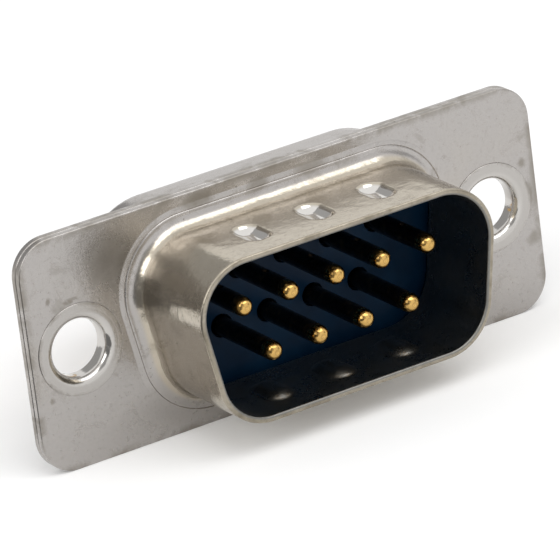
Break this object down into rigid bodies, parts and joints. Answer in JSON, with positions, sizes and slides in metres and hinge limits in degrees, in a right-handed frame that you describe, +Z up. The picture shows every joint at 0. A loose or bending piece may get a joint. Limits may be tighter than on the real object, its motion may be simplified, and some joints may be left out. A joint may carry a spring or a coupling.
{
  "type": "d-sub connector",
  "caption": "D-shaped cable connector plug: drawn metal hood round its contact pins, flange with riveted mounting eyelets, dark insulator and rear solder cups.",
  "frame": {"origin": "on the front face of the flange, midway between the two mounting holes", "axes": "+X along the flange, -Y out of the mating face, +Z up towards the wide row of contacts"},
  "size_m": [0.0308, 0.018, 0.0126],
  "materials": {
    "plated_shell": "bright tin plating, lightly stained",
    "insulator": "moulded, almost black blue",
    "eyelet": "nickel plated",
    "contact": "gold plated"
  },
  "bodies": {
    "root": {"front_shell": "plated_shell", "rear_shell": "plated_shell", "front_insulator": "insulator", "rear_insulator": "insulator", "eyelet_left": "eyelet", "eyelet_right": "eyelet", "pin_1": "contact", "pin_2": "contact", "pin_3": "contact", "pin_4": "contact", "pin_5": "contact", "pin_6": "contact", "pin_7": "contact", "pin_8": "contact", "pin_9": "contact"}
  },
  "joints": []
}
